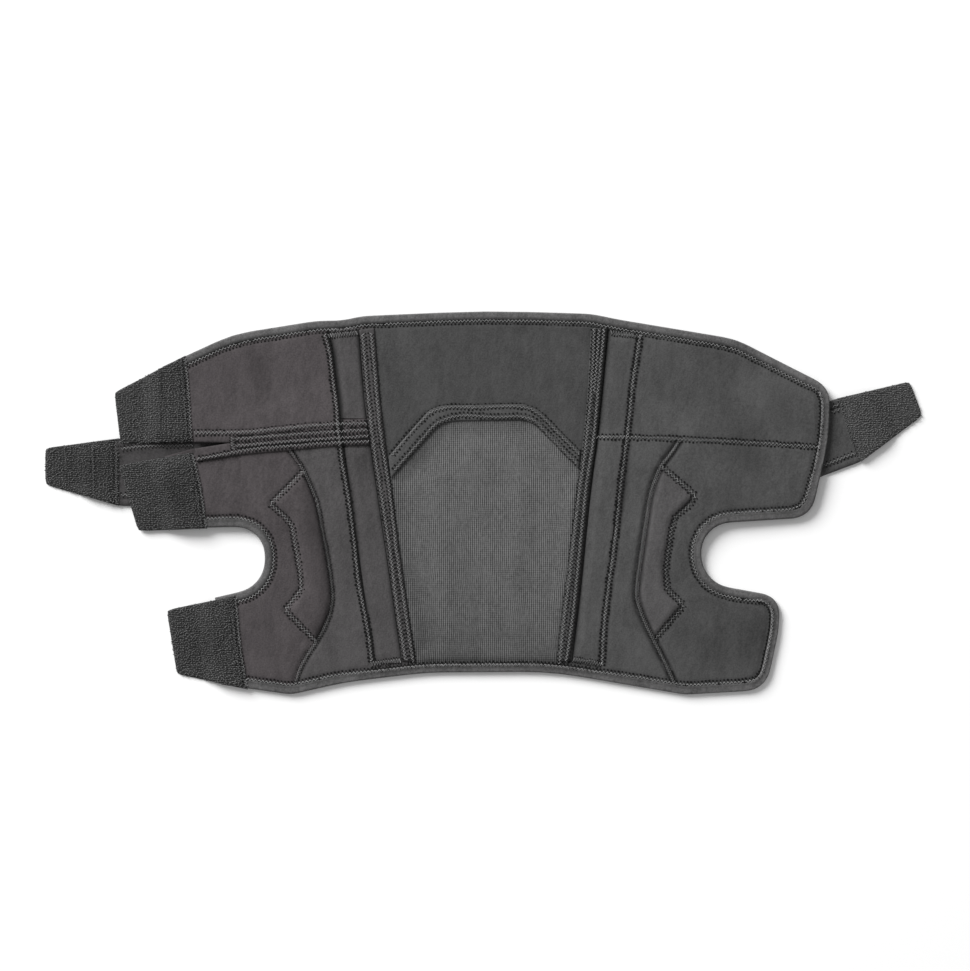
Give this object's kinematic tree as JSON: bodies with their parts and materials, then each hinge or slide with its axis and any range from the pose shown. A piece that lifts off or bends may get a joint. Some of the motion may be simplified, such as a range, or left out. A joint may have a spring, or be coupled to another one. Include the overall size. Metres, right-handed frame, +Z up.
{
  "type": "knee support",
  "caption": "Soft wrap-around knee support laid open flat, with a knit middle, stay channels, padded kneecap notches, hook tabs and straps.",
  "frame": {"origin": "middle of the whole outline, on the surface it lies on", "axes": "+X along the opened wrap towards the end with the single wide lobes, +Y towards the thigh end, +Z up out of the skin side"},
  "size_m": [0.5569, 0.2435, 0.008],
  "materials": {
    "neoprene": "matt jersey-faced neoprene, dark grey",
    "binding": "matt rolled jersey edge, dark grey",
    "knit": "matt fine ribbed knit, mid grey",
    "hook": "coarse hook fastener face, charcoal"
  },
  "bodies": {
    "root": {"centre_top_panel": "neoprene", "knit_panel": "knit", "knit_panel_trim": "neoprene", "left_upper_panel": "neoprene", "left_inner_panel": "neoprene", "left_outer_panel": "neoprene", "right_upper_panel": "neoprene", "right_inner_panel": "neoprene", "right_outer_panel": "neoprene", "left_seam_tape": "neoprene", "right_seam_tape": "neoprene", "left_upper_stay_channel": "neoprene", "left_lower_stay_channel": "neoprene", "right_stay_channel": "neoprene", "left_crescent_pad": "neoprene", "right_crescent_pad": "neoprene", "slit_binding": "neoprene", "edge_binding": "binding", "notch_binding": "binding", "upper_hook_tab": "hook", "middle_hook_tab": "hook", "lower_hook_tab": "hook", "left_strap": "binding", "left_strap_hook_tab": "hook", "right_strap": "binding", "right_strap_hook_tab": "hook"}
  },
  "joints": []
}
